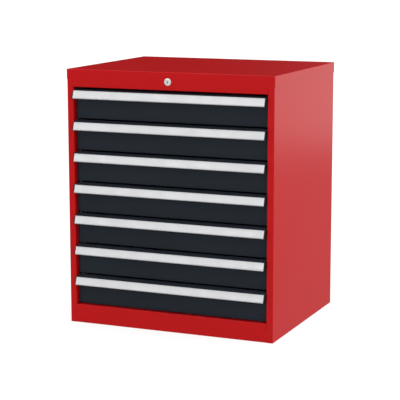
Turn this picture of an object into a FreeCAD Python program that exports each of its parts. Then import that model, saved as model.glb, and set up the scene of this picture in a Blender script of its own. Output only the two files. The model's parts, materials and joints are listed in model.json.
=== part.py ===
import FreeCAD, Part
import math
import os

# Steel drawer cabinet for tools. Millimetres. X to the right, Y to the back, Z up.
# The origin is on the floor, in the middle of the housing's footprint.
# Drawers are numbered from the top.

# Housing
width = 700.0
depth = 570.0
sheet = 1.5
bend_inside = 0.5
plinth_height = 60.0
fascia_height = 56.5
stile_width = 23.0
stile_return = 20.0
cover_flange = 33.0
apron_return = 17.5
plinth_return = 23.0
rear_flange = 20.0
top_flange = 15.0
foot_flange = 45.0
base_flange = 25.0
cross_rail_width = 43.0
cross_rail_drop = 20.0

# Floor fixing holes in the foot flanges
anchor_hole_radius = 5.5
anchor_from_wall = 23.5
anchor_from_end = 45.0

# Fixing screws
screw_radius = 2.4
screw_hole_radius = 2.6
screw_head_radius = 4.2
screw_head_height = 1.5
screw_length = 7.0
back_screws_per_side = 5
back_screw_end_gap = 75.0
back_panel_clearance = 1.0

# Drawers
drawer_count = 7
drawer_pitch = 100.25
stack_clearance = 1.75
front_recess = 17.0
front_sheet = 1.2
front_side_gap = 2.5
front_bottom_gap = 1.5
front_top_gap = 1.9
front_bottom_return = 12.0
tray_sheet = 1.2
tray_rear_gap = 47.3
tray_floor_rise = 8.0
tray_headroom = 17.2
tray_rim = 6.0
tray_bend = 2.0
slot_width = 2.5
slot_height = 18.0
slot_below_rim = 5.0
slot_pitch = 50.0

# Grip strip of a drawer, measured from the stile plane and down from the drawer's module top
grip_half_gap = 5.0
grip_top_out = 8.4
grip_top_drop = 8.0
grip_bottom_out = 16.5
grip_bottom_drop = 32.6
grip_plate = 2.0
grip_foot = 5.0
grip_channel = 1.4
grip_rib = 1.4
grip_rib_top = 3.2
grip_rib_bottom = 10.4
lip_length = 7.2
cap_thickness = 3.0
cap_clearance = 0.5

# Telescopic runners
runner_width = 13.0
runner_sheet = 1.2
runner_rear_gap = 42.5
runner_height = 45.0
runner_centre = 45.0
runner_start = 23.0
fixed_flange = 9.5
fixed_lip = 3.9
middle_height = 33.0
middle_start = 3.6
middle_end = 11.2
inner_height = 21.0
inner_start = 6.0

# Posts that carry the runners
post_width = 32.0
front_post_start = 45.0
rear_post_end = 65.0
perforation_pitch = 25.0
perforation_height = 12.0
perforation_width = 4.0

# Central lock
lock_drop = 30.0
lock_collar_radius = 11.5
lock_collar_height = 3.0
lock_body_radius = 9.3
lock_body_length = 22.0
lock_bore_radius = 7.0
lock_hole_clearance = 0.1
plug_clearance = 0.05
plug_proud = 0.6
keyway_width = 1.8
keyway_height = 9.0
keyway_depth = 12.0
tail_half = 3.0
nut_across = 24.0
nut_height = 4.5
cam_throw = 10.0
cam_thickness = 2.5
cam_gap = 0.5
cam_hub_radius = 8.0
cam_tip_radius = 4.5
cam_pin_radius = 2.5
cam_pin_length = 8.0
cam_screw_radius = 4.0
cam_screw_height = 1.8
yoke_clearance = 0.8
beam_gap = 3.0
beam_thickness = 3.0
beam_height = 18.0
beam_overhang = 12.0
bar_offset = 3.0
bar_thickness = 3.0
bar_width = 18.0
bar_start = 23.0
bar_bottom_margin = 24.0
finger_length = 13.0
finger_depth = 5.0
finger_height = 6.0
finger_clearance = 4.5
catch_rise = 4.0
catch_height = 8.0
catch_reach = 9.0
catch_leg = 30.0
catch_sheet = 1.8
catch_play = 2.0
guide_count = 3
guide_height = 20.0
guide_lip = 1.4
guide_play = 0.6

# Worked-out places
point = FreeCAD.Vector
height = plinth_height + drawer_count * drawer_pitch + stack_clearance + fascia_height
front = -depth / 2
back = depth / 2
opening = width / 2 - stile_width
wall_out = width / 2 - sheet
wall_in = wall_out - sheet
opening_top = height - fascia_height
cover_bottom = height - cover_flange
flange_back = back - sheet
panel_back = flange_back - sheet
panel_front = panel_back - sheet
floor_top = plinth_height - sheet
rear_screw_x = wall_out - rear_flange / 2
face = front + front_recess
tray_front = face + front_sheet
tray_back = panel_front - tray_rear_gap
tray_half = opening - runner_width
front_half = opening - front_side_gap
grip_half = opening - grip_half_gap
runner_front = front + runner_start
runner_back = panel_front - runner_rear_gap
front_post = front + front_post_start
rear_post = back - rear_post_end - post_width
lock_z = height - lock_drop
lock_back = front + lock_body_length
cam_front = lock_back + cam_gap
cam_back = cam_front + cam_thickness
cam_half_lift = cam_throw * math.sin(math.pi / 4)
beam_front = cam_back + beam_gap
bar_front = front + bar_start
bar_inside = opening + bar_offset
bar_outside = bar_inside + bar_thickness
catch_front = bar_front + finger_depth + catch_play


def box(x0, x1, y0, y1, z0, z1):
    return Part.makeBox(x1 - x0, y1 - y0, z1 - z0, point(x0, y0, z0))


def rod(radius, x, y0, y1, z):
    # A round bar along Y.
    return Part.makeCylinder(radius, y1 - y0, point(x, y0, z), point(0, 1, 0))


def mirrored(shape):
    # The same piece on the other side of the cabinet.
    return shape.mirror(point(0, 0, 0), point(1, 0, 0))


def both_sides(shape):
    return [shape, mirrored(shape)]


def placed(axis, flat, start):
    # A section's point: flat holds the two directions across axis, in X, Y, Z order.
    if axis == "X":
        return point(start, flat.x, flat.y)
    if axis == "Y":
        return point(flat.x, start, flat.y)
    return point(flat.x, flat.y, start)


def pull(axis, edges, start, length):
    # Closes flat edges into a face across axis and extrudes it.
    wire = Part.Wire(Part.__sortEdges__(edges))
    return Part.Face(wire).extrude(placed(axis, point(0, 0, 0), length))


def turned(direction):
    return point(-direction.y, direction.x, 0)


def bend_points(before, corner, after, radius, offset):
    # Start, middle and end of one bend, on a line that runs offset to the left of the middle line.
    ahead = (corner - before).normalize()
    onward = (after - corner).normalize()
    side = 1.0 if turned(ahead).dot(onward) > 0 else -1.0
    turn = math.acos(max(-1.0, min(1.0, ahead.dot(onward))))
    trim = radius * math.tan(turn / 2)
    centre = corner - ahead * trim + turned(ahead) * (side * radius)
    outward_start = turned(ahead) * -side
    outward_end = turned(onward) * -side
    outward_middle = (outward_start + outward_end).normalize()
    reach = radius - side * offset
    return [centre + outward * reach for outward in (outward_start, outward_middle, outward_end)]


def side_line(points, radius, offset):
    # One face of a bent sheet: its two ends, and three points for each bend between them.
    first = turned((points[1] - points[0]).normalize())
    last = turned((points[-1] - points[-2]).normalize())
    line = [points[0] + first * offset]
    for before, corner, after in zip(points, points[1:], points[2:]):
        line += bend_points(before, corner, after, radius, offset)
    line.append(points[-1] + last * offset)
    return line


def line_edges(axis, line, start):
    corners = [placed(axis, flat, start) for flat in line]
    edges = [Part.LineSegment(corners[0], corners[1]).toShape()]
    for i in range(1, len(corners) - 1, 3):
        edges.append(Part.Arc(corners[i], corners[i + 1], corners[i + 2]).toShape())
        edges.append(Part.LineSegment(corners[i + 2], corners[i + 3]).toShape())
    return edges


def bent_sheet(axis, middle, thickness, inside_radius, start, end):
    # Sheet metal of constant thickness: middle is its middle line, as pairs across axis.
    points = [point(u, v, 0) for u, v in middle]
    radius = inside_radius + thickness / 2
    left = side_line(points, radius, thickness / 2)
    right = side_line(points, radius, -thickness / 2)
    edges = line_edges(axis, left, start) + line_edges(axis, right, start)
    for i in (0, -1):
        ends = placed(axis, left[i], start), placed(axis, right[i], start)
        edges.append(Part.LineSegment(*ends).toShape())
    return pull(axis, edges, start, end - start)


def rounded_bar(axis, outline, start, end):
    # A solid bar: outline holds pairs across axis with the radius of each corner.
    count = len(outline)
    flats = [point(u, v, 0) for u, v, radius in outline]
    line = []
    for i, (u, v, radius) in enumerate(outline):
        if radius > 0:
            line.append(bend_points(flats[i - 1], flats[i], flats[(i + 1) % count], radius, 0.0))
        else:
            line.append([flats[i]])
    edges = []
    for i, corner in enumerate(line):
        spots = [placed(axis, flat, start) for flat in corner]
        following = placed(axis, line[(i + 1) % count][0], start)
        if len(spots) == 3:
            edges.append(Part.Arc(*spots).toShape())
        edges.append(Part.LineSegment(spots[-1], following).toShape())
    return pull(axis, edges, start, end - start)


def open_box(x_half, y0, y1, z0, z1, thickness, radius, open_top):
    # A folded sheet pan with rounded outer edges, open at its top or at its bottom.
    outer = box(-x_half, x_half, y0, y1, z0, z1)
    closed_z = z0 if open_top else z1
    open_z = z1 if open_top else z0
    rounded = [edge for edge in outer.Edges if not lies_in(edge, open_z)]
    outer = outer.makeFillet(radius, rounded)
    inner_z = sorted([closed_z + (thickness if open_top else -thickness), open_z])
    inner = box(-x_half + thickness, x_half - thickness, y0 + thickness, y1 - thickness, *inner_z)
    return outer.cut(inner)


def lies_in(edge, z):
    return all(abs(vertex.Z - z) < 0.001 for vertex in edge.Vertexes)


def drawer_base(number):
    return plinth_height + (drawer_count - number) * drawer_pitch


def drawer_numbers():
    return range(1, drawer_count + 1)


def runner_levels():
    return [drawer_base(number) + runner_centre for number in drawer_numbers()]


def post_screw_places():
    return [front_post + post_width / 2, rear_post + post_width / 2]


def back_screw_levels():
    span = cover_bottom - 2 * back_screw_end_gap
    step = span / (back_screws_per_side - 1)
    return [back_screw_end_gap + step * i for i in range(back_screws_per_side)]


def side_panel():
    # Right-hand side: wall, front stile with its return, rear flange, top and foot flanges.
    half = sheet / 2
    section = [
        (opening + half, front + stile_return),
        (opening + half, front + half),
        (wall_out - half, front + half),
        (wall_out - half, flange_back - half),
        (wall_out - rear_flange, flange_back - half),
    ]
    panel = bent_sheet("Z", section, sheet, bend_inside, 0.0, height - sheet)
    stile_end = box(opening - 1, wall_in, front - 1, front + stile_return + 1, cover_bottom, height)
    corner_end = box(opening - 1, wall_out + 1, front - 1, front + sheet, cover_bottom, height)
    panel = panel.cut(stile_end.fuse(corner_end))
    foot = box(wall_out - foot_flange, wall_out - half, front + plinth_return, panel_front, 0, sheet)
    flange_end = back - cross_rail_width - 2 * sheet
    top_z = height - 2 * sheet
    top = box(wall_out - top_flange, wall_out - half, -flange_end, flange_end, top_z, top_z + sheet)
    panel = panel.fuse([foot, top]).removeSplitter()
    holes = [rod(screw_hole_radius, rear_screw_x, panel_back - 1, back, z) for z in back_screw_levels()]
    for y in (front + anchor_from_end, back - anchor_from_end):
        place = point(wall_out - anchor_from_wall, y, -1)
        holes.append(Part.makeCylinder(anchor_hole_radius, sheet + 2, place))
    return panel.cut(Part.makeCompound(holes))


def top_cover():
    # Lid with side and rear flanges, and a deep front apron that carries the lock.
    outer_radius = bend_inside + sheet
    lid = open_box(width / 2, front, back, cover_bottom, height, sheet, outer_radius, False)
    half = sheet / 2
    section = [
        (front + apron_return, opening_top + half),
        (front + half, opening_top + half),
        (front + half, cover_bottom + outer_radius),
    ]
    apron = bent_sheet("X", section, sheet, bend_inside, -opening, opening)
    cover = lid.fuse(apron).removeSplitter()
    return cover.cut(rod(lock_body_radius + lock_hole_clearance, 0, front - 1, front + sheet + 1, lock_z))


def plinth_rail():
    half = sheet / 2
    section = [
        (front + plinth_return, plinth_height - half),
        (front + half, plinth_height - half),
        (front + half, half),
        (front + plinth_return, half),
    ]
    return bent_sheet("X", section, sheet, bend_inside, -opening, opening)


def base_panel():
    # Floor of the housing, a pan turned upside down.
    bottom = floor_top - base_flange
    radius = bend_inside + sheet
    return open_box(wall_in, front + stile_return, panel_front, bottom, floor_top, sheet, radius, False)


def back_panel():
    half_width = wall_in - back_panel_clearance
    panel = box(-half_width, half_width, panel_front, panel_back, 2 * sheet, height - 3 * sheet)
    holes = []
    for x in (-rear_screw_x, rear_screw_x):
        for z in back_screw_levels():
            holes.append(rod(screw_hole_radius, x, panel_front - 1, panel_back + 1, z))
    return panel.cut(Part.makeCompound(holes))


def cross_rails():
    # Two angles that tie the side panels together under the lid, at the front and at the back.
    z = height - sheet * 1.5
    rails = []
    for edge, web in ((front + 2 * sheet, front + cross_rail_width), (panel_front, back - cross_rail_width)):
        section = [(edge, z), (web, z), (web, z - cross_rail_drop)]
        rails.append(bent_sheet("X", section, sheet, bend_inside, -wall_in, wall_in))
    return Part.makeCompound(rails)


def runner_post(y0):
    # Perforated channel, welded to the inside of the wall, with a screw hole at each runner.
    half = sheet / 2
    section = [
        (wall_in, y0 + half),
        (opening + half, y0 + half),
        (opening + half, y0 + post_width - half),
        (wall_in, y0 + post_width - half),
    ]
    post = bent_sheet("Z", section, sheet, bend_inside, floor_top, opening_top)
    middle = y0 + post_width / 2
    cuts = []
    slots_per_drawer = int(drawer_pitch / perforation_pitch + 0.5)
    for number in drawer_numbers():
        centre = drawer_base(number) + runner_centre
        cuts.append(screw_bore(centre, middle))
        for i in range(1, slots_per_drawer):
            z = centre + i * perforation_pitch
            if z + perforation_height < opening_top:
                cuts.append(box(
                    opening - 1, opening + sheet + 1,
                    middle - perforation_width / 2, middle + perforation_width / 2,
                    z - perforation_height / 2, z + perforation_height / 2))
    return post.cut(Part.makeCompound(cuts))


def screw_bore(z, y):
    start = point(opening - 2 * runner_sheet, y, z)
    return Part.makeCylinder(screw_hole_radius, 2 * runner_sheet + 2 * sheet, start, point(1, 0, 0))


def runner_posts():
    posts = []
    for y0 in (front_post, rear_post):
        posts += both_sides(runner_post(y0))
    return Part.makeCompound(posts)


def fixed_runner(z):
    # Outer member: a channel open towards the drawer, with lips that keep the balls in.
    half = runner_sheet / 2
    rise = runner_height / 2
    web = opening - half
    tip = opening - fixed_flange + half
    section = [
        (tip, z + rise - fixed_lip),
        (tip, z + rise - half),
        (web, z + rise - half),
        (web, z - rise + half),
        (tip, z - rise + half),
        (tip, z - rise + fixed_lip),
    ]
    rail = bent_sheet("Y", section, runner_sheet, bend_inside, runner_front, runner_back)
    bores = [screw_bore(z, y) for y in post_screw_places()]
    return rail.cut(Part.makeCompound(bores))


def cabinet_rails():
    rails = []
    for z in runner_levels():
        rails += both_sides(fixed_runner(z))
    return Part.makeCompound(rails)


def rail_screw(z, y):
    head_x = opening - runner_sheet - screw_head_height
    head = Part.makeCylinder(screw_head_radius, screw_head_height, point(head_x, y, z), point(1, 0, 0))
    head_edge = [edge for edge in head.Edges if edge.Length > 1 and edge.BoundBox.XMax < head_x + 0.001]
    head = head.makeChamfer(screw_head_height / 3, head_edge)
    shank_x = opening - runner_sheet
    shank = Part.makeCylinder(screw_radius, screw_length, point(shank_x, y, z), point(1, 0, 0))
    return head.fuse(shank)


def rail_screws():
    screws = []
    for z in runner_levels():
        for y in post_screw_places():
            screws += both_sides(rail_screw(z, y))
    return Part.makeCompound(screws)


def back_screw(x, z):
    head = rod(screw_head_radius, x, flange_back, back, z)
    rim = [edge for edge in head.Edges if edge.BoundBox.YMin > back - 0.001]
    head = head.makeChamfer(sheet / 3, rim)
    return head.fuse(rod(screw_radius, x, flange_back - screw_length, flange_back, z))


def back_screws():
    screws = []
    for z in back_screw_levels():
        screws += both_sides(back_screw(rear_screw_x, z))
    return Part.makeCompound(screws)


def lock_housing():
    # Flanged barrel that holds the plug.
    collar = rod(lock_collar_radius, 0, front - lock_collar_height, front, lock_z)
    rim = [edge for edge in collar.Edges if edge.BoundBox.YMax < front - lock_collar_height + 0.001]
    collar = collar.makeFillet(lock_collar_height / 2, rim)
    barrel = rod(lock_body_radius, 0, front, lock_back, lock_z)
    bore = rod(lock_bore_radius, 0, front - lock_collar_height - 1, lock_back + 1, lock_z)
    return collar.fuse(barrel).removeSplitter().cut(bore)


def lock_nut():
    # Hexagon nut that clamps the barrel behind the apron.
    corner = nut_across / 2 / math.cos(math.pi / 6)
    outline = []
    for i in range(6):
        angle = math.radians(60 * i)
        outline.append((corner * math.cos(angle), lock_z + corner * math.sin(angle), 0))
    y0 = front + sheet
    nut = rounded_bar("Y", outline, y0, y0 + nut_height)
    return nut.cut(rod(lock_body_radius + lock_hole_clearance, 0, y0 - 1, y0 + nut_height + 1, lock_z))


def lock_plug():
    # Keyed cylinder, keyway upright, with a square tail for the cam.
    y0 = front - lock_collar_height - plug_proud
    core = rod(lock_bore_radius - plug_clearance, 0, y0, lock_back, lock_z)
    tail = box(-tail_half, tail_half, lock_back, cam_back, lock_z - tail_half, lock_z + tail_half)
    keyway = box(
        -keyway_width / 2, keyway_width / 2, y0 - 1, y0 + keyway_depth,
        lock_z - keyway_height / 2, lock_z + keyway_height / 2)
    return core.fuse(tail).removeSplitter().cut(keyway)


def lock_cam():
    # Lever on the tail, with a pin that carries the locking frame. Its rest is the unlocked place.
    x = cam_half_lift
    z = lock_z + cam_half_lift
    hub = rod(cam_hub_radius, 0, cam_front, cam_back, lock_z)
    tip = rod(cam_tip_radius, x, cam_front, cam_back, z)
    across = cam_tip_radius * math.sin(math.pi / 4)
    arm = rounded_bar("Y", [
        (-across, lock_z + across, 0),
        (across, lock_z - across, 0),
        (x + across, z - across, 0),
        (x - across, z + across, 0),
    ], cam_front, cam_back)
    pin = rod(cam_pin_radius, x, cam_back, cam_back + cam_pin_length, z)
    square = box(-tail_half, tail_half, cam_front - 1, cam_back + 1, lock_z - tail_half, lock_z + tail_half)
    lever = hub.fuse([tip, arm, pin]).removeSplitter().cut(square)
    screw = rod(cam_screw_radius, 0, cam_back, cam_back + cam_screw_height, lock_z)
    return Part.makeCompound([lever, screw])


def yoke_slot():
    # Level slot for the cam pin, with room for the pin's sideways swing.
    reach = cam_pin_radius + yoke_clearance
    z = lock_z + cam_half_lift
    y0 = beam_front - 1
    y1 = beam_front + beam_thickness + 1
    first = cam_half_lift - yoke_clearance
    last = cam_throw + yoke_clearance
    middle = box(first, last, y0, y1, z - reach, z + reach)
    return middle.fuse([rod(reach, first, y0, y1, z), rod(reach, last, y0, y1, z)])


def finger_bottom(number):
    # Height of a finger when the drawers are free, just over the catch.
    return drawer_base(number) + catch_bottom() + catch_height + finger_clearance


def catch_bottom():
    return runner_centre + runner_height / 2 + catch_rise


def lock_frame():
    # Sliding frame: a beam behind the apron, an upright bar, and one finger for each drawer.
    middle_z = lock_z + cam_half_lift
    beam = box(
        -beam_overhang, bar_outside, beam_front, beam_front + beam_thickness,
        middle_z - beam_height / 2, middle_z + beam_height / 2)
    beam = beam.cut(yoke_slot())
    bar_bottom = finger_bottom(drawer_count) - bar_bottom_margin
    bar = box(
        bar_inside, bar_outside, bar_front, bar_front + bar_width,
        bar_bottom, middle_z + beam_height / 2)
    fingers = []
    for number in drawer_numbers():
        z = finger_bottom(number)
        fingers.append(box(
            bar_inside - finger_length, bar_inside, bar_front, bar_front + finger_depth,
            z, z + finger_height))
    return beam.fuse([bar] + fingers).removeSplitter()


def lock_guides():
    # Plastic channels on the wall that the upright bar slides in.
    y0 = bar_front - guide_play
    y1 = bar_front + bar_width + guide_play
    inside = bar_inside - guide_lip
    outline = [
        (inside, y0 - guide_lip, 0),
        (wall_in, y0 - guide_lip, 0),
        (wall_in, y1 + guide_lip, 0),
        (inside, y1 + guide_lip, 0),
        (inside, y1, 0),
        (bar_outside + guide_play, y1, 0),
        (bar_outside + guide_play, y0, 0),
        (inside, y0, 0),
    ]
    first = drawer_base(drawer_count) + drawer_pitch
    step = (drawer_base(1) - first) / (guide_count - 1)
    guides = []
    for i in range(guide_count):
        z = first + i * step
        guides.append(rounded_bar("Z", outline, z, z + guide_height))
    return Part.makeCompound(guides)


def tray(base):
    z0 = base + tray_floor_rise
    z1 = base + drawer_pitch - tray_headroom
    pan = open_box(tray_half, tray_front, tray_back, z0, z1, tray_sheet, tray_bend, True)
    inside = tray_half - tray_sheet / 2
    rim_front = tray_front + tray_sheet / 2
    rim_back = tray_back - tray_sheet / 2
    rims = both_sides(box(inside - tray_rim, inside, rim_front, rim_back, z1 - tray_sheet, z1))
    rims.append(box(-inside, inside, rim_back - tray_rim, rim_back, z1 - tray_sheet, z1))
    pan = pan.fuse(rims).removeSplitter()
    return pan.cut(Part.makeCompound(tray_slots(z1 - slot_below_rim)))


def tray_slots(top):
    # Upright slots for dividers, in all four walls.
    slots = []
    span_y = (int((tray_back - tray_front) / slot_pitch) - 2) * slot_pitch
    for i in range(int(span_y / slot_pitch) + 1):
        y = (tray_front + tray_back - span_y) / 2 + i * slot_pitch
        slots += both_sides(slot_at(tray_half, y, tray_sheet, slot_width / 2, top))
    half_count = int((tray_half - slot_pitch) / slot_pitch)
    for i in range(-half_count, half_count + 1):
        for y in (tray_front, tray_back):
            slots.append(slot_at(i * slot_pitch, y, slot_width / 2, tray_sheet, top))
    return slots


def slot_at(x, y, half_x, half_y, top):
    depth_x = half_x if half_x > tray_sheet else 2 * half_x
    depth_y = half_y if half_y > tray_sheet else 2 * half_y
    return box(x - depth_x, x + depth_x, y - depth_y, y + depth_y, top - slot_height, top)


def grip_axes(base):
    # The grip strip's slope: its top edge, the way down along it, and the way out of its face.
    top = point(front - grip_top_out, base + drawer_pitch - grip_top_drop, 0)
    bottom = point(front - grip_bottom_out, base + drawer_pitch - grip_bottom_drop, 0)
    down = (bottom - top).normalize()
    outward = point(down.y, -down.x, 0)
    return top, down, outward, (bottom - top).Length


def grip_place(base, along, out):
    top, down, outward, length = grip_axes(base)
    return top + down * along + outward * out


def drawer_front(base):
    # Face sheet: bottom return, face, sloping ledge over the finger gap, and the lip for the grip.
    half = front_sheet / 2
    lip_out = -grip_plate - grip_channel / 2
    bottom_z = base + front_bottom_gap + half
    top_z = base + drawer_pitch - front_top_gap - half
    lip_top = grip_place(base, front_sheet, lip_out)
    lip_end = grip_place(base, front_sheet + lip_length, lip_out)
    section = [
        (face + front_bottom_return, bottom_z),
        (face + half, bottom_z),
        (face + half, top_z),
        (lip_top.x, lip_top.y),
        (lip_end.x, lip_end.y),
    ]
    blank = bent_sheet("X", section, front_sheet, bend_inside, -front_half, front_half)
    notch_back = grip_place(base, 0, -grip_foot).x + cap_clearance
    notch = box(grip_half, front_half + 1, front - depth, notch_back, base, base + drawer_pitch)
    return blank.cut(notch).cut(mirrored(notch))


def grip_strip(base):
    # Extruded grip: sloping plate, rolled foot, and a rib that clips on to the front's lip.
    length = grip_axes(base)[3]
    rib_in = -grip_plate - grip_channel
    rib_out = rib_in - grip_rib
    profile = [
        (0, 0, 0.8),
        (length, 0, 2.2),
        (length, -grip_foot, 0.9),
        (length - grip_plate, -grip_foot, 0.9),
        (length - grip_plate, -grip_plate, 1.0),
        (grip_rib_bottom, -grip_plate, 0),
        (grip_rib_bottom, rib_out, 0.5),
        (grip_rib_top, rib_out, 0.3),
        (grip_rib_top, rib_in, 0.3),
        (grip_rib_bottom - grip_rib, rib_in, 0),
        (grip_rib_bottom - grip_rib, -grip_plate, 0),
        (0, -grip_plate, 0.5),
    ]
    return rounded_bar("X", grip_outline(base, profile), -grip_half, grip_half)


def grip_outline(base, profile):
    outline = []
    for along, out, radius in profile:
        place = grip_place(base, along, out)
        outline.append((place.x, place.y, radius))
    return outline


def end_caps(base):
    # Plastic cheeks that close the two ends of the grip.
    length = grip_axes(base)[3]
    profile = [
        (0, 0, 0.8),
        (length, 0, 2.2),
        (length, -grip_foot, 1.2),
        (front_sheet * 2, -grip_foot, 1.0),
        (0, -grip_plate, 0.5),
    ]
    cap = rounded_bar("X", grip_outline(base, profile), grip_half, grip_half + cap_thickness)
    return Part.makeCompound(both_sides(cap))


def channel(base, web_u, tip_u, rise):
    # A runner member: its web and its two flanges, u being the distance from the post's face.
    half = runner_sheet / 2
    z = base + runner_centre
    section = [
        (opening - tip_u, z + rise - half),
        (opening - web_u, z + rise - half),
        (opening - web_u, z - rise + half),
        (opening - tip_u, z - rise + half),
    ]
    return bent_sheet("Y", section, runner_sheet, bend_inside, runner_front, runner_back)


def middle_rails(base):
    web = middle_start + runner_sheet / 2
    return Part.makeCompound(both_sides(channel(base, web, middle_end, middle_height / 2)))


def drawer_rails(base):
    # Inner runner members, and the catch on the right that a finger of the lock holds.
    web = runner_width - runner_sheet / 2
    rails = both_sides(channel(base, web, inner_start, inner_height / 2))
    half = catch_sheet / 2
    section = [
        (tray_half + half, catch_front + catch_leg),
        (tray_half + half, catch_front + half),
        (tray_half + catch_reach, catch_front + half),
    ]
    z = base + catch_bottom()
    rails.append(bent_sheet("Z", section, catch_sheet, bend_inside, z, z + catch_height))
    return Part.makeCompound(rails)


def housing_pieces():
    right = side_panel()
    return {
        "side_panel_right": right,
        "side_panel_left": mirrored(right),
        "back_panel": back_panel(),
        "top_cover": top_cover(),
        "plinth_rail": plinth_rail(),
        "base_panel": base_panel(),
        "cross_rails": cross_rails(),
        "runner_posts": runner_posts(),
        "cabinet_rails": cabinet_rails(),
        "rail_screws": rail_screws(),
        "back_screws": back_screws(),
    }


def lock_pieces():
    return {
        "lock_housing": lock_housing(),
        "lock_nut": lock_nut(),
        "lock_plug": lock_plug(),
        "lock_cam": lock_cam(),
        "lock_frame": lock_frame(),
        "lock_guides": lock_guides(),
    }


def drawer_pieces(number):
    base = drawer_base(number)
    return {
        f"drawer_{number}_tray": tray(base),
        f"drawer_{number}_front": drawer_front(base),
        f"drawer_{number}_grip": grip_strip(base),
        f"drawer_{number}_end_caps": end_caps(base),
        f"drawer_{number}_rails": drawer_rails(base),
        f"slide_{number}_middle_rails": middle_rails(base),
    }


def build():
    pieces = housing_pieces()
    pieces.update(lock_pieces())
    for number in drawer_numbers():
        pieces.update(drawer_pieces(number))
    os.makedirs("parts", exist_ok=True)
    for name, shape in pieces.items():
        shape.exportStep(f"parts/{name}.step")
        print(name, len(shape.Solids), "solids", round(shape.Volume / 1000, 1), "cm3", shape.isValid())


build()
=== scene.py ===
import bpy
import bmesh
import json
import math
from mathutils import Matrix, Vector


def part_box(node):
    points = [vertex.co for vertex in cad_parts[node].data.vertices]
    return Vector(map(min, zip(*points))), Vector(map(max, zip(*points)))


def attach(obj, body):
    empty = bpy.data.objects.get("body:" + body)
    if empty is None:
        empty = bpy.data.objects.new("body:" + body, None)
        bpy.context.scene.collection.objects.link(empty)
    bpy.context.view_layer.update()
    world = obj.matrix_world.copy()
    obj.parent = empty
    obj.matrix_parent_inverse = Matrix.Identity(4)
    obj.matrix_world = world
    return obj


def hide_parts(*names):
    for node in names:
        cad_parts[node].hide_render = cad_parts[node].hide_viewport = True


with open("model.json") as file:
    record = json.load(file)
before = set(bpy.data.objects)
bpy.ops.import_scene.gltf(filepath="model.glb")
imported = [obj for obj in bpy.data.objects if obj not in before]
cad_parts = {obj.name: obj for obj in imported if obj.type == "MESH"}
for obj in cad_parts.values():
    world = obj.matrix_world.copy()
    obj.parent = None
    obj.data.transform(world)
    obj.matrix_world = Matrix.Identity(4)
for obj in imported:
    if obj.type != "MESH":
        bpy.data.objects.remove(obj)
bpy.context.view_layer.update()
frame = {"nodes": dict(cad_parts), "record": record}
nodes = frame["nodes"]
drawerNumbers = range(1, 8)
mergeDistance = 0.000002
onPlane = 0.00001  # how close a vertex has to be to count as lying on a plane
print("frame loaded:", len(nodes), "nodes")

cameraLook = {
    "lens": 129.528,
    "sensor": 36.0,
    "place": (1.82276, -4.29515, 1.19744),
    "yaw": 0.40423,  # to the left of straight ahead
    "pitch": 0.17404,  # downwards
    "roll": -0.00138,
}


def makeCamera(look):
    data = bpy.data.cameras.new("camera")
    data.lens = look["lens"]
    data.sensor_width = look["sensor"]
    camera = bpy.data.objects.new("camera", data)
    bpy.context.scene.collection.objects.link(camera)
    yaw, pitch, roll = look["yaw"], look["pitch"], look["roll"]
    ahead = Vector((-math.sin(yaw) * math.cos(pitch), math.cos(yaw) * math.cos(pitch), -math.sin(pitch)))
    right = ahead.cross(Vector((0, 0, 1))).normalized()
    up = right.cross(ahead)
    tiltedRight = right * math.cos(roll) + up * math.sin(roll)
    tiltedUp = up * math.cos(roll) - right * math.sin(roll)
    turn = Matrix((tiltedRight, tiltedUp, -ahead)).transposed().to_4x4()
    camera.matrix_world = Matrix.Translation(look["place"]) @ turn
    bpy.context.scene.camera = camera


makeCamera(cameraLook)
bpy.context.scene.view_settings.view_transform = "Standard"
print("camera placed")

studioLook = {
    "horizonLight": 0.5,
    "topLight": 1.90,
    "rightLight": 1.1,
    "reflectedBase": 0.014,
    "domeTop": 0.60,
    "domeStart": 0.50,  # sine of the elevation where the dome starts to brighten
    "softboxes": [
        # direction, strength, cosine of the outer edge, cosine of the inner edge
        ((-0.387, -0.800, 0.460), 1.35, 0.90, 0.97),
        ((0.387, 0.904, -0.15), 0.34, 0.66, 0.90),
    ],
    "panelPlace": (1.20, 1.99, 0.745),
    "panelSize": (1.8, 0.95),
    "panelRadiance": 0.57,
    "floorSize": 60.0,
    "floorColour": (0.25, 0.25, 0.25, 1),
    "floorGlow": 0.74,
}


def nodeMaker(tree):
    def add(kind, inputs=None, **settings):
        node = tree.nodes.new(kind)
        for name, value in settings.items():
            setattr(node, name, value)
        for name, value in (inputs or {}).items():
            if isinstance(value, bpy.types.NodeSocket):
                tree.links.new(value, node.inputs[name])
            else:
                node.inputs[name].default_value = value
        return node
    return add


def smoothRise(add, value, start, end, low, high):
    return add("ShaderNodeMapRange", {
        "Value": value, "From Min": start, "From Max": end, "To Min": low, "To Max": high,
    }, interpolation_type="SMOOTHSTEP").outputs[0]


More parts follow.
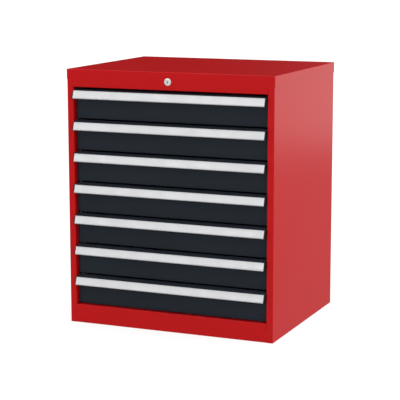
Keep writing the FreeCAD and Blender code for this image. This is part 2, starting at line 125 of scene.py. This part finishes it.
def makeWorld(look):
    world = bpy.data.worlds.new("studio")
    bpy.context.scene.world = world
    world.use_nodes = True
    world.cycles.sampling_method = "NONE"
    tree = world.node_tree
    tree.nodes.clear()
    add = nodeMaker(tree)
    direction = add("ShaderNodeTexCoord").outputs["Generated"]
    parts = add("ShaderNodeSeparateXYZ", {"Vector": direction})
    sky = parts.outputs["Z"]
    light = smoothRise(add, sky, look["domeStart"], 1.0, look["reflectedBase"], look["domeTop"])
    for aim, strength, outer, inner in look["softboxes"]:
        across = add("ShaderNodeVectorMath", {
            0: direction, 1: Vector(aim).normalized()}, operation="DOT_PRODUCT").outputs["Value"]
        box = smoothRise(add, across, outer, inner, 0.0, strength)
        light = add("ShaderNodeMath", {0: light, 1: box}, operation="ADD").outputs[0]
    # diffuse light comes from a plain sky, so the softboxes show only in reflections
    overhead = add("ShaderNodeMath", {0: sky, 1: sky}, operation="MULTIPLY").outputs[0]
    overhead = add("ShaderNodeMath", {
        0: overhead, 1: look["topLight"], 2: look["horizonLight"]}, operation="MULTIPLY_ADD").outputs[0]
    fromRight = add("ShaderNodeMath", {0: parts.outputs["X"], 1: 0.0}, operation="MAXIMUM").outputs[0]
    shadowless = add("ShaderNodeMath", {
        0: fromRight, 1: look["rightLight"], 2: overhead}, operation="MULTIPLY_ADD").outputs[0]
    rays = add("ShaderNodeLightPath")
    soft = add("ShaderNodeMix", {
        0: rays.outputs["Is Diffuse Ray"], 2: light, 3: shadowless}, data_type="FLOAT")
    seen = add("ShaderNodeMix", {
        0: rays.outputs["Is Camera Ray"], 2: soft.outputs[0], 3: 1.0}, data_type="FLOAT")
    background = add("ShaderNodeBackground", {"Color": (1, 1, 1, 1), "Strength": seen.outputs[0]})
    add("ShaderNodeOutputWorld", {"Surface": background.outputs[0]})


def makeFloor(look):
    build = bmesh.new()
    bmesh.ops.create_grid(build, x_segments=1, y_segments=1, size=look["floorSize"])
    mesh = bpy.data.meshes.new("studio_floor")
    build.to_mesh(mesh)
    build.free()
    floor = bpy.data.objects.new("studio_floor", mesh)
    bpy.context.scene.collection.objects.link(floor)
    paper = bpy.data.materials.new("studio paper")
    paper.use_nodes = True
    shader = paper.node_tree.nodes["Principled BSDF"]
    shader.inputs["Base Color"].default_value = look["floorColour"]
    shader.inputs["Roughness"].default_value = 1.0
    shader.inputs["Specular IOR Level"].default_value = 0.0
    shader.inputs["Emission Color"].default_value = (1, 1, 1, 1)
    shader.inputs["Emission Strength"].default_value = look["floorGlow"]
    mesh.materials.append(paper)
    floor.visible_glossy = False


def makePanel(look):
    # a bright panel behind to the right, which the side of the housing mirrors
    data = bpy.data.lights.new("panel", "AREA")
    data.shape = "RECTANGLE"
    data.size, data.size_y = look["panelSize"]
    data.energy = look["panelRadiance"] * math.pi * data.size * data.size_y
    panel = bpy.data.objects.new("panel", data)
    bpy.context.scene.collection.objects.link(panel)
    place = Vector(look["panelPlace"])
    level = Vector((place.x, place.y, 0))
    panel.matrix_world = Matrix.Translation(place) @ level.to_track_quat("Z", "Y").to_matrix().to_4x4()
    panel.visible_camera = False
    panel.visible_diffuse = False


makeWorld(studioLook)
makeFloor(studioLook)
makePanel(studioLook)
print("studio lit")


def newFinish(name):
    material = bpy.data.materials.new(name)
    material.use_nodes = True
    tree = material.node_tree
    return material, tree.nodes["Principled BSDF"], nodeMaker(tree), tree


def noiseOn(add, place, size, detail=2.0, roughness=0.5):
    return add("ShaderNodeTexNoise", {
        "Vector": place, "Scale": 1.0 / size, "Detail": detail, "Roughness": roughness}).outputs["Fac"]


def spread(add, value, low, high, start=0.3, end=0.7):
    return add("ShaderNodeMapRange", {
        "Value": value, "From Min": start, "From Max": end, "To Min": low, "To Max": high}).outputs[0]


def blendColours(add, amount, first, second):
    return add("ShaderNodeMix", {0: amount, 6: first, 7: second}, data_type="RGBA").outputs[2]


coatNoise = {"fleckDetail": 1.0, "fleckRange": (0.45, 0.75), "peelDetail": 2.0, "peelRoughness": 0.35}
metalNoise = {"streakDetail": 3.0, "patchDetail": 3.0, "streakDepth": 0.00002}
zincNoise = {"smearDetail": 4.0, "grainSize": 0.0009, "grainStrength": 0.2, "grainDepth": 0.00002}


def powderCoat(name, look):
    material, shader, add, tree = newFinish(name)
    place = add("ShaderNodeTexCoord").outputs["Object"]
    cloud = spread(add, noiseOn(add, place, look["cloudSize"]), 0.0, 1.0)
    fleckNoise = noiseOn(add, place, look["fleckSize"], coatNoise["fleckDetail"])
    fleck = spread(add, fleckNoise, 0.0, look["fleckAmount"], *coatNoise["fleckRange"])
    colour = blendColours(add, cloud, look["colour"], look["cloudColour"])
    colour = blendColours(add, fleck, colour, look["fleckColour"])
    tree.links.new(colour, shader.inputs["Base Color"])
    peel = noiseOn(add, place, look["peelSize"], coatNoise["peelDetail"], coatNoise["peelRoughness"])
    shader.inputs["Roughness"].default_value = look["roughness"]
    bump = add("ShaderNodeBump", {
        "Strength": look["peelStrength"], "Distance": look["peelDepth"], "Height": peel})
    tree.links.new(bump.outputs[0], shader.inputs["Normal"])
    shader.inputs["Specular IOR Level"].default_value = look["specular"]
    return material


def metal(name, look):
    material, shader, add, tree = newFinish(name)
    place = add("ShaderNodeTexCoord").outputs["Object"]
    drawn = add("ShaderNodeMapping", {"Vector": place, "Scale": look["streakScale"]}).outputs[0]
    streak = noiseOn(add, drawn, 1.0, metalNoise["streakDetail"])
    patch = noiseOn(add, place, look["patchSize"], metalNoise["patchDetail"])
    colour = blendColours(add, spread(add, patch, 0.0, 1.0), look["colour"], look["patchColour"])
    tree.links.new(colour, shader.inputs["Base Color"])
    gloss = add("ShaderNodeMath", {
        0: spread(add, streak, look["roughness"][0], look["roughness"][1]),
        1: spread(add, patch, 0.0, look["patchRoughness"])}, operation="ADD").outputs[0]
    tree.links.new(gloss, shader.inputs["Roughness"])
    bump = add("ShaderNodeBump", {
        "Strength": look["streakStrength"], "Distance": metalNoise["streakDepth"], "Height": streak})
    tree.links.new(bump.outputs[0], shader.inputs["Normal"])
    shader.inputs["Metallic"].default_value = look["metallic"]
    return material


def zincPlate(name, look):
    material, shader, add, tree = newFinish(name)
    place = add("ShaderNodeTexCoord").outputs["Object"]
    spangle = add("ShaderNodeTexVoronoi", {"Vector": place, "Scale": 1.0 / look["spangleSize"]})
    shade = add("ShaderNodeSeparateColor", {"Color": spangle.outputs["Color"]}).outputs[0]
    colour = blendColours(add, shade, look["colour"], look["spangleColour"])
    tree.links.new(colour, shader.inputs["Base Color"])
    smear = noiseOn(add, place, look["smearSize"], zincNoise["smearDetail"])
    tree.links.new(spread(add, smear, *look["roughness"]), shader.inputs["Roughness"])
    bump = add("ShaderNodeBump", {
        "Strength": zincNoise["grainStrength"], "Distance": zincNoise["grainDepth"],
        "Height": noiseOn(add, place, zincNoise["grainSize"])})
    tree.links.new(bump.outputs[0], shader.inputs["Normal"])
    shader.inputs["Metallic"].default_value = look["metallic"]
    return material


redCoatLook = {
    "colour": (0.440, 0.0020, 0.0034, 1), "cloudColour": (0.424, 0.0016, 0.0028, 1), "cloudSize": 0.35,
    "fleckColour": (0.52, 0.010, 0.012, 1), "fleckSize": 0.0006, "fleckAmount": 0.10,
    "peelSize": 0.0024, "peelStrength": 0.22, "peelDepth": 0.00002, "roughness": 0.285, "specular": 0.3,
}
frontCoatLook = {
    "colour": (0.0150, 0.0208, 0.0290, 1), "cloudColour": (0.0166, 0.0228, 0.0315, 1), "cloudSize": 0.25,
    "fleckColour": (0.045, 0.050, 0.058, 1), "fleckSize": 0.0005, "fleckAmount": 0.12,
    "peelSize": 0.0020, "peelStrength": 0.25, "peelDepth": 0.00003, "roughness": 0.345, "specular": 0.4,
}
trayCoatLook = dict(frontCoatLook)
trayCoatLook.update({
    "colour": (0.024, 0.027, 0.032, 1), "cloudColour": (0.028, 0.031, 0.037, 1), "roughness": 0.46})
plasticLook = {
    "colour": (0.010, 0.010, 0.011, 1), "cloudColour": (0.013, 0.013, 0.014, 1), "cloudSize": 0.03,
    "fleckColour": (0.020, 0.020, 0.021, 1), "fleckSize": 0.0004, "fleckAmount": 0.2,
    "peelSize": 0.0007, "peelStrength": 0.35, "peelDepth": 0.00005, "roughness": 0.47, "specular": 0.45,
}
# painted shade: a near-black finish for the inside of the keyway, which is really plug metal dark only
# from shade
keywayShadeLook = {
    "colour": (0.016, 0.026, 0.030, 1), "patchColour": (0.012, 0.020, 0.024, 1), "patchSize": 0.002,
    "streakScale": (900.0, 900.0, 900.0), "streakStrength": 0.05, "roughness": (0.45, 0.60),
    "patchRoughness": 0.05, "metallic": 0.2,
}
anodisedLook = {
    "colour": (0.70, 0.705, 0.717, 1), "patchColour": (0.665, 0.67, 0.682, 1), "patchSize": 0.05,
    "streakScale": (6.0, 1600.0, 1600.0), "streakStrength": 0.25, "roughness": (0.30, 0.42),
    "patchRoughness": 0.04, "metallic": 0.55,
}
lockMetalLook = {
    "colour": (0.90, 0.905, 0.91, 1), "patchColour": (0.86, 0.865, 0.87, 1), "patchSize": 0.004,
    "streakScale": (900.0, 900.0, 900.0), "streakStrength": 0.12, "roughness": (0.20, 0.28),
    "patchRoughness": 0.05, "metallic": 0.35,
}
plugMetalLook = dict(lockMetalLook)
plugMetalLook.update({
    "colour": (0.80, 0.81, 0.82, 1), "patchColour": (0.74, 0.75, 0.76, 1), "roughness": (0.24, 0.34)})
zincLook = {
    "colour": (0.56, 0.57, 0.58, 1), "spangleColour": (0.64, 0.65, 0.665, 1), "spangleSize": 0.008,
    "smearSize": 0.02, "roughness": (0.30, 0.44), "metallic": 0.6,
}

finishes = {
    "red_powder_coat": powderCoat("red powder coat", redCoatLook),
    "anthracite_powder_coat": powderCoat("anthracite powder coat", frontCoatLook),
    "tray_powder_coat": powderCoat("tray powder coat", trayCoatLook),
    "black_plastic": powderCoat("black moulded plastic", plasticLook),
    "grip_aluminium": metal("anodised grip aluminium", anodisedLook),
    "lock_chrome": metal("satin lock chrome", lockMetalLook),
    "plug_face": metal("brushed plug metal", plugMetalLook),
    # painted shade for the inside of the keyway
    "keyway_painted_shade": metal("painted keyway shade", keywayShadeLook),
    "zinc_steel": zincPlate("zinc plated steel", zincLook),
}

for row in frame["record"]["subparts"]:
    part = nodes[row["node"]]
    finish = finishes[row["material_slot"]]
    if not part.material_slots:
        part.data.materials.append(finish)
    for holder in part.material_slots:
        holder.material = finish
print("finishes on the frame's nodes")


def finishPiece(build, name, body, slotName, replaced=(), sharpAngle=35.0, surfaces=()):
    # surfaces names the finishes by material index, and is the slot's own finish unless given
    bmesh.ops.remove_doubles(build, verts=build.verts, dist=mergeDistance)
    bmesh.ops.recalc_face_normals(build, faces=build.faces)
    mesh = bpy.data.meshes.new(name)
    build.to_mesh(mesh)
    build.free()
    for face in mesh.polygons:
        face.use_smooth = True
    mesh.set_sharp_from_angle(angle=math.radians(sharpAngle))
    for surface in surfaces or [slotName]:
        mesh.materials.append(finishes[surface])
    piece = bpy.data.objects.new(name, mesh)
    bpy.context.scene.collection.objects.link(piece)
    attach(piece, body)
    if replaced:
        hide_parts(*replaced)


def roundCorners(build, corners, segments):
    # corners pairs each vertex with the radius that it gets
    for radius in sorted({radius for vertex, radius in corners if radius > 0}):
        chosen = [vertex for vertex, cornerRadius in corners if cornerRadius == radius]
        bmesh.ops.bevel(
            build, geom=chosen, offset=radius, offset_type="OFFSET", affect="VERTICES",
            segments=segments, profile=0.5, material=-1)


def outlineFace(build, outline, segments=4):
    corners = [(build.verts.new(spot), radius) for spot, radius in outline]
    face = build.faces.new([vertex for vertex, radius in corners])
    roundCorners(build, corners, segments)
    build.faces.ensure_lookup_table()
    return face if face.is_valid else build.faces[-1]


def extrudeFaces(build, faces, step):
    made = bmesh.ops.extrude_face_region(build, geom=faces)["geom"]
    bmesh.ops.translate(build, verts=verticesOf(made), vec=step)
    return [item for item in made if isinstance(item, bmesh.types.BMFace)]


def bothSides(build):
    everything = build.verts[:] + build.edges[:] + build.faces[:]
    bmesh.ops.mirror(build, geom=everything, axis="X", merge_dist=0.0)


def verticesOf(made):
    return [item for item in made if isinstance(item, bmesh.types.BMVert)]


def edgesOf(made):
    return [item for item in made if isinstance(item, bmesh.types.BMEdge)]


def endRims(build, side):
    return [edge for edge in build.edges if all(
        abs(abs(vertex.co.x) - side) < onPlane for vertex in edge.verts)]


def roundRims(build, rims, width, segments):
    bmesh.ops.recalc_face_normals(build, faces=build.faces)
    bmesh.ops.bevel(
        build, geom=rims, offset=width, offset_type="OFFSET", affect="EDGES",
        segments=segments, profile=0.5, material=-1, clamp_overlap=True)


def standUp(build, vertices, place, quarterTurns):
    # from lying flat at the origin to upright at its place
    turn = Matrix.Rotation(quarterTurns * math.pi / 2, 3, "X")
    bmesh.ops.rotate(build, verts=vertices, cent=(0, 0, 0), matrix=turn)
    bmesh.ops.translate(build, verts=vertices, vec=place)


def addBlock(build, size, place):
    corners = bmesh.ops.create_cube(build, size=1.0)["verts"]
    bmesh.ops.scale(build, verts=corners, vec=size)
    bmesh.ops.translate(build, verts=corners, vec=place)


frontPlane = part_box("plinth_rail")[0].y

gripLook = {
    "topOut": 0.0084, "bottomOut": 0.0165,  # in front of the housing
    "topDrop": 0.0061, "bottomDrop": 0.0307,  # below the top of the drawer front
    "plate": 0.0020, "foot": 0.0050, "lowerRadius": 0.0022,
    "channelDepth": 0.00035, "channelStart": 0.0022, "channelEnd": 0.0215,
    "ribIn": 0.0034, "ribOut": 0.0048, "ribStart": 0.0032, "ribEnd": 0.0104, "ribWall": 0.0014,
    "topRadius": 0.0007, "channelRadius": 0.0002, "channelFootRadius": 0.0001,
    "footRadius": 0.0009, "footInsideRadius": 0.0010, "ribRadius": 0.0005, "slotRadius": 0.0003,
    "backRadius": 0.0005, "endBevel": 0.00025,
}


def gripAxes(number, look):
    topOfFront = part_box(f"drawer_{number}_front")[1].z
    top = Vector((0, frontPlane - look["topOut"], topOfFront - look["topDrop"]))
    bottom = Vector((0, frontPlane - look["bottomOut"], topOfFront - look["bottomDrop"]))
    down = (bottom - top).normalized()
    outward = Vector((0, down.z, -down.y))
    return top, down, outward, (bottom - top).length


def makeGrip(number, look):
    top, down, outward, length = gripAxes(number, look)
    low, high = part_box(f"drawer_{number}_grip")
    depth = look["channelDepth"]
    plate, foot = look["plate"], look["foot"]
    outline = [  # down along the strip, out of its face, radius
        (0, 0, look["topRadius"]),
        (look["channelStart"], 0, look["channelRadius"]),
        (look["channelStart"] + depth, -depth, look["channelFootRadius"]),
        (look["channelEnd"] - depth, -depth, look["channelFootRadius"]),
        (look["channelEnd"], 0, look["channelRadius"]),
        (length, 0, look["lowerRadius"]),
        (length, -foot, look["footRadius"]),
        (length - plate, -foot, look["footRadius"]),
        (length - plate, -plate, look["footInsideRadius"]),
        (look["ribEnd"], -plate, 0),
        (look["ribEnd"], -look["ribOut"], look["ribRadius"]),
        (look["ribStart"], -look["ribOut"], look["slotRadius"]),
        (look["ribStart"], -look["ribIn"], look["slotRadius"]),
        (look["ribEnd"] - look["ribWall"], -look["ribIn"], 0),
        (look["ribEnd"] - look["ribWall"], -plate, 0),
        (0, -plate, look["backRadius"]),
    ]
    build = bmesh.new()
    start = Vector((low.x, 0, 0))
    section = outlineFace(build, [
        (start + top + down * along + outward * out, radius) for along, out, radius in outline])
    extrudeFaces(build, [section], Vector((high.x - low.x, 0, 0)))
    roundRims(build, endRims(build, high.x), look["endBevel"], 1)
    finishPiece(build, f"drawer_{number}_grip_strip", f"drawer_{number}", "grip_aluminium",
                [f"drawer_{number}_grip"])


for number in drawerNumbers:
    makeGrip(number, gripLook)
print("grip strips made")

capLook = {
    "edge": 0.0006, "webTop": 0.0024, "topRadius": 0.0008, "frontRadius": 0.0020,
    "footRadius": 0.0012, "webRadius": 0.0010, "backRadius": 0.0005,
}


def makeEndCaps(number, look):
    top, down, outward, length = gripAxes(number, gripLook)
    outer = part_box(f"drawer_{number}_end_caps")[1].x
    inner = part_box(f"drawer_{number}_grip")[1].x
    outline = [  # down along the strip, out of its face, radius
        (0, 0, look["topRadius"]),
        (length, 0, look["frontRadius"]),
        (length, -gripLook["foot"], look["footRadius"]),
        (look["webTop"], -gripLook["foot"], look["webRadius"]),
        (0, -gripLook["plate"], look["backRadius"]),
    ]
    build = bmesh.new()
    start = Vector((inner, 0, 0))
    section = outlineFace(build, [
        (start + top + down * along + outward * out, radius) for along, out, radius in outline])
    extrudeFaces(build, [section], Vector((outer - inner, 0, 0)))
    roundRims(build, endRims(build, outer), look["edge"], 3)
    bothSides(build)
    finishPiece(build, f"drawer_{number}_grip_caps", f"drawer_{number}", "black_plastic",
                [f"drawer_{number}_end_caps"])


for number in drawerNumbers:
    makeEndCaps(number, capLook)
print("end caps made")

lockLook = {
    "collarRadius": 0.0115, "collarHeight": 0.0030, "bodyRadius": 0.0093, "boreRadius": 0.0070,
    "lipRadius": 0.0078, "boreEdge": 0.0003, "collarFoot": 0.0004, "shoulderSteps": 8, "steps": 64,
    "plugRadius": 0.00695, "plugProud": 0.0006, "plugChamfer": 0.0006,
    "keyway": (0.0009, 0.0042), "keywayMouth": (0.0013, 0.0045),  # half width, half height
    "mouthDepth": 0.0005, "keywayDepth": 0.012, "keywaySlack": 0.0001, "tail": 0.006,
    "threadStart": 0.002, "threadPitch": 0.0015, "threadDepth": 0.0004, "sharpAngle": 30.0,
}


def spunBody(build, outline, centre, steps):
    # outline is a closed loop of (radius, y) pairs, spun about the Y axis through centre
    ring = [build.verts.new((centre.x + radius, y, centre.z)) for radius, y in outline]
    edges = [build.edges.new((ring[i], ring[(i + 1) % len(ring)])) for i in range(len(ring))]
    bmesh.ops.spin(
        build, geom=ring + edges, cent=centre, axis=(0, 1, 0), angle=2 * math.pi, steps=steps,
        use_merge=True, use_duplicate=False)
    bmesh.ops.remove_doubles(build, verts=build.verts, dist=mergeDistance)


def makeLock(look):
    low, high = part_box("lock_housing")
    centre = (low + high) / 2
    faceY = frontPlane - look["collarHeight"]
    outer, lip, bore = look["collarRadius"], look["lipRadius"], look["boreRadius"]
    crest, root = look["bodyRadius"], look["bodyRadius"] - look["threadDepth"]
    edge = look["boreEdge"]
    outline = [(bore, high.y), (bore, faceY + edge), (bore + edge, faceY), (lip, faceY)]
    for step in range(1, look["shoulderSteps"] + 1):  # rounded shoulder of the collar
        angle = step / look["shoulderSteps"] * math.pi / 2
        outline.append((
            lip + (outer - lip) * math.sin(angle),
            faceY + (look["collarHeight"] - look["collarFoot"]) * (1 - math.cos(angle))))
    outline += [(outer, frontPlane), (root, frontPlane)]
    depth = frontPlane + look["threadStart"]
    while depth < high.y - look["threadPitch"]:
        outline += [(root, depth), (crest, depth + look["threadPitch"] / 2)]
        depth += look["threadPitch"]
    outline += [(root, depth), (root, high.y)]
    build = bmesh.new()
    spunBody(build, outline, centre, look["steps"])
    finishPiece(build, "lock_barrel", "housing", "lock_chrome", ["lock_housing"], look["sharpAngle"])
    return centre, high.y


def facesOn(build, faceY):
    return [face for face in build.faces if all(
        abs(vertex.co.y - faceY) < mergeDistance / 2 for vertex in face.verts)]


def cutKeyway(build, look, middle):
    halfWide, halfHigh = look["keywayMouth"]
    slack = look["keywaySlack"]
    across, upright = Vector((1, 0, 0)), Vector((0, 0, 1))
    for offset, normal in (
            (halfWide, across), (-halfWide, across), (halfHigh, upright), (-halfHigh, upright)):
        geometry = set(facesOn(build, middle.y))
        for face in list(geometry):
            geometry.update(face.edges)
            geometry.update(face.verts)
        bmesh.ops.bisect_plane(
            build, geom=list(geometry), plane_co=middle + normal * offset, plane_no=normal)
    keyhole = [face for face in facesOn(build, middle.y) if (
        face.calc_center_median() - middle).length < slack]
    mouth = extrudeFaces(build, keyhole, Vector((0, look["mouthDepth"], 0)))
    narrow = (look["keyway"][0] / halfWide, 1, look["keyway"][1] / halfHigh)
    mouthVertices = list({vertex for face in mouth for vertex in face.verts})
    bmesh.ops.scale(build, verts=mouthVertices, vec=narrow, space=Matrix.Translation(-middle))
    bottom = extrudeFaces(build, mouth, Vector((0, look["keywayDepth"] - look["mouthDepth"], 0)))
    covers = [face for face in keyhole + mouth if face.is_valid and face not in bottom]
    bmesh.ops.delete(build, geom=covers, context="FACES_ONLY")
    for face in build.faces:
        spot = face.calc_center_median() - middle
        inside = abs(spot.x) < halfWide + slack and abs(spot.z) < halfHigh + slack
        if inside and slack < spot.y < look["keywayDepth"] + slack:
            face.material_index = 1  # the inside of the keyway, given a near-black finish as painted shade instead of the plug's metal


def makePlug(look, centre, barrelBack):
    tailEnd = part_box("lock_plug")[1].y
    faceY = frontPlane - look["collarHeight"] - look["plugProud"]
    middle = Vector((centre.x, faceY, centre.z))
    chamfer = look["plugChamfer"]
    faceRadius = look["plugRadius"] - chamfer
    build = bmesh.new()
    disc = bmesh.ops.create_circle(
        build, cap_ends=True, segments=look["steps"], radius=faceRadius)["verts"]
    standUp(build, disc, middle, 1)
    sloped = bmesh.ops.extrude_edge_only(build, edges=build.edges[:])["geom"]
    ring = verticesOf(sloped)
    widen = look["plugRadius"] / faceRadius
    bmesh.ops.scale(build, verts=ring, vec=(widen, 1, widen), space=Matrix.Translation(-middle))
    bmesh.ops.translate(build, verts=ring, vec=(0, chamfer, 0))
    side = bmesh.ops.extrude_edge_only(build, edges=edgesOf(sloped))["geom"]
    bmesh.ops.translate(build, verts=verticesOf(side), vec=(0, barrelBack - faceY - chamfer, 0))
    bmesh.ops.contextual_create(build, geom=edgesOf(side))
    cutKeyway(build, look, middle)
    tailSize = (look["tail"], tailEnd - barrelBack, look["tail"])
    addBlock(build, tailSize, (centre.x, (tailEnd + barrelBack) / 2, centre.z))
    finishPiece(build, "lock_keyed_plug", "lock_plug", "lock_chrome", ["lock_plug"],
                look["sharpAngle"], ["plug_face", "keyway_painted_shade"])


lockCentre, barrelBack = makeLock(lockLook)
makePlug(lockLook, lockCentre, barrelBack)
print("lock made")

cageLook = {
    "ballRadius": 0.0022, "ballPitch": 0.0255, "ballInset": 0.008, "ballDetail": 2,
    "sheet": 0.0006, "width": 0.0042,
    # x and web are in from the wall side of the runner, rise is up and down from its middle
    "outer": {"x": 0.0061, "rise": 0.0189, "web": 0.0024, "start": 0.006, "end": 0.232},
    "inner": {"x": 0.0087, "rise": 0.0129, "web": 0.0054, "start": -0.256, "end": -0.030},
}


def makeCages(number, look):
    low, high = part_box(f"slide_{number}_middle_rails")
    railCentre = (low.z + high.z) / 2
    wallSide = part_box("cabinet_rails")[1].x
    build = bmesh.new()
    for row in (look["outer"], look["inner"]):
        x = wallSide - row["x"]
        length = row["end"] - row["start"]
        middle = (row["start"] + row["end"]) / 2
        count = int(length / look["ballPitch"])
        for z in (railCentre + row["rise"], railCentre - row["rise"]):
            for step in range(count + 1):
                y = row["start"] + look["ballInset"] + step * (length - 2 * look["ballInset"]) / count
                ball = bmesh.ops.create_icosphere(
                    build, subdivisions=look["ballDetail"], radius=look["ballRadius"])["verts"]
                bmesh.ops.translate(build, verts=ball, vec=(x, y, z))
            addBlock(build, (look["width"], length, look["sheet"]), (x, middle, z))
        web = (look["sheet"], length, 2 * row["rise"])
        addBlock(build, web, (wallSide - row["web"], middle, railCentre))
    bothSides(build)
    finishPiece(build, f"slide_{number}_ball_cages", f"slide_{number}", "zinc_steel")


for number in drawerNumbers:
    makeCages(number, cageLook)
print("runner balls made")

backScrewLook = {
    "radius": 0.0042, "height": 0.0015, "faceShare": 0.8, "edgeDrop": 0.0005, "steps": 24,
    "shankRadius": 0.0024, "shank": 0.0070, "shankSteps": 12,
    "recess": 0.0016, "recessDepth": 0.0009, "levels": 5,
}


def addSocket(build, face, place, look):
    # a hexagon socket in the middle of the head's face
    inset = look["radius"] * look["faceShare"] - look["recess"]
    bmesh.ops.inset_individual(build, faces=[face], thickness=inset, depth=0.0)
    sixth = math.pi / 3
    for vertex in face.verts:
        away = vertex.co - place
        flat = (math.atan2(away.z, away.x) + sixth / 2) % sixth - sixth / 2
        vertex.co = place + away.normalized() * (look["recess"] * math.cos(sixth / 2) / math.cos(flat))
    extrudeFaces(build, [face], Vector((0, -look["recessDepth"], 0)))
    if face.is_valid:
        bmesh.ops.delete(build, geom=[face], context="FACES_ONLY")


def addScrew(build, place, look):
    disc = bmesh.ops.create_circle(
        build, cap_ends=True, segments=look["steps"], radius=look["radius"] * look["faceShare"])["verts"]
    standUp(build, disc, place, -1)
    addSocket(build, [face for face in build.faces if disc[0] in face.verts][0], place, look)
    rim = [edge for edge in build.edges if edge.is_boundary]
    for drop in (look["edgeDrop"], look["height"]):
        made = bmesh.ops.extrude_edge_only(build, edges=rim)["geom"]
        for vertex in verticesOf(made):
            away = Vector((vertex.co.x - place.x, 0, vertex.co.z - place.z)).normalized()
            vertex.co = place + away * look["radius"] - Vector((0, drop, 0))
        rim = edgesOf(made)
    bmesh.ops.contextual_create(build, geom=rim)
    shank = bmesh.ops.create_cone(
        build, cap_ends=True, segments=look["shankSteps"], radius1=look["shankRadius"],
        radius2=look["shankRadius"], depth=look["shank"])["verts"]
    standUp(build, shank, place - Vector((0, look["height"] + look["shank"] / 2, 0)), 1)


def makeBackScrews(look):
    low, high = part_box("back_screws")
    bottom, top = low.z + look["radius"], high.z - look["radius"]
    build = bmesh.new()
    for level in range(look["levels"]):
        z = bottom + (top - bottom) * level / (look["levels"] - 1)
        addScrew(build, Vector((high.x - look["radius"], high.y, z)), look)
    bothSides(build)
    finishPiece(build, "back_panel_screws", "housing", "zinc_steel", ["back_screws"])


makeBackScrews(backScrewLook)
print("back screws made")
